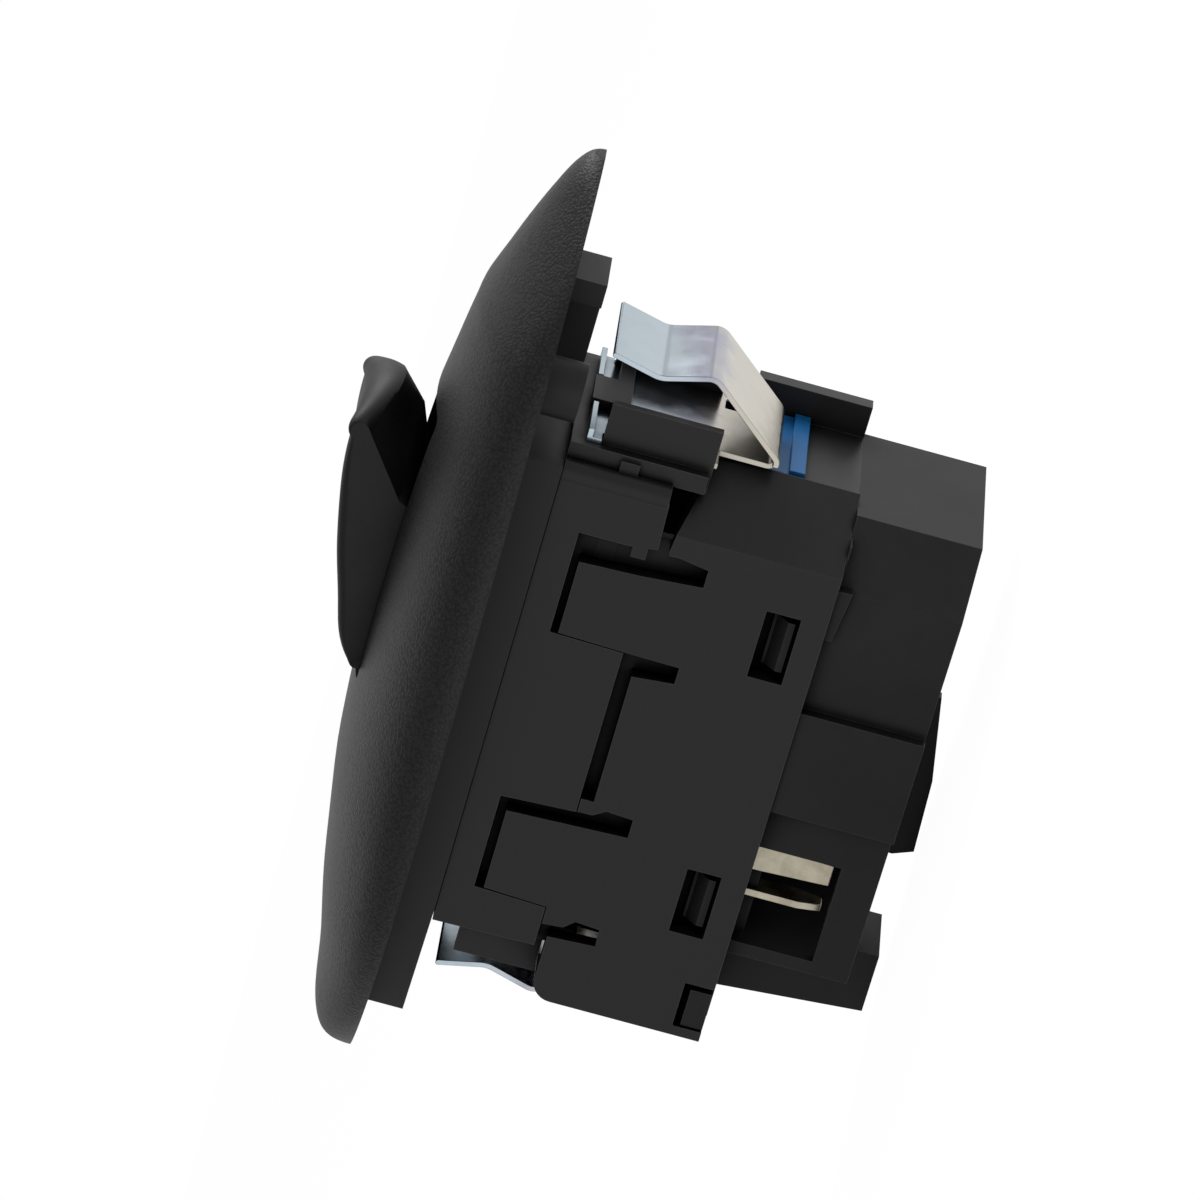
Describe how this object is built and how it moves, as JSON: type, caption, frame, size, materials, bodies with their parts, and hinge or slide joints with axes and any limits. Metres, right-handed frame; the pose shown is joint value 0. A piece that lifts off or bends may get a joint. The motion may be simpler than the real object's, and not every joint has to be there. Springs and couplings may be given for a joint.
{
  "type": "power window switch",
  "caption": "Automotive window switch: leaf-shaped bezel, push-pull rocker, snap-together housing, sprung panel clips, connector sockets behind.",
  "frame": {"origin": "centre of the flat seating rim of the bezel, where it meets the door panel", "axes": "+Z out of the panel towards the user, +X along the bezel towards the rocker's raised lip, Y across the bezel"},
  "size_m": [0.1076, 0.052, 0.0716],
  "materials": {
    "textured_plastic": "grained",
    "smooth_plastic": "satin",
    "housing_plastic": "satin",
    "base_plastic": "matte",
    "plunger_plastic": "satin",
    "steel_pin": "ground",
    "spring_wire": "drawn",
    "spring_steel": "zinc plated",
    "contact_brass": "stamped",
    "terminal_brass": "tin plated",
    "blue_plastic": "satin"
  },
  "bodies": {
    "housing": {"bezel": "textured_plastic", "rocker_pin": "steel_pin", "carrier": "housing_plastic", "lower_housing": "housing_plastic", "connector_body": "housing_plastic", "contact_base": "base_plastic", "return_spring_down": "spring_wire", "return_spring_up": "spring_wire", "spring_clip_top": "spring_steel", "spring_clip_bottom": "spring_steel", "terminal_lock": "blue_plastic", "terminal_1": "terminal_brass", "terminal_2": "terminal_brass", "terminal_3": "terminal_brass", "terminal_4": "terminal_brass", "terminal_5": "terminal_brass", "terminal_6": "terminal_brass"},
    "rocker": {"rocker": "smooth_plastic"},
    "push_rod_down": {"plunger_down": "plunger_plastic", "contact_bridge_down": "contact_brass"},
    "push_rod_up": {"plunger_up": "plunger_plastic", "contact_bridge_up": "contact_brass"}
  },
  "joints": [
    {"name": "rocker_pivot", "type": "hinge", "parent": "housing", "child": "rocker", "pos_m": [0.004, 0, 0.0046], "axis": [0, -1, 0], "range_deg": [-7, 7], "stiffness_Nm_per_rad": 0.3},
    {"name": "plunger_down_slide", "type": "slide", "parent": "housing", "child": "push_rod_down", "axis": [0, 0, 1], "range_m": [-0.0007, 0.0007], "deforming": ["return_spring_down"]},
    {"name": "plunger_up_slide", "type": "slide", "parent": "housing", "child": "push_rod_up", "axis": [0, 0, 1], "range_m": [-0.0007, 0.0007], "deforming": ["return_spring_up"]}
  ],
  "couplings": [
    {"joint": "plunger_down_slide", "follows": "rocker_pivot", "m_per_rad": 0.0055},
    {"joint": "plunger_up_slide", "follows": "rocker_pivot", "m_per_rad": -0.0055}
  ]
}
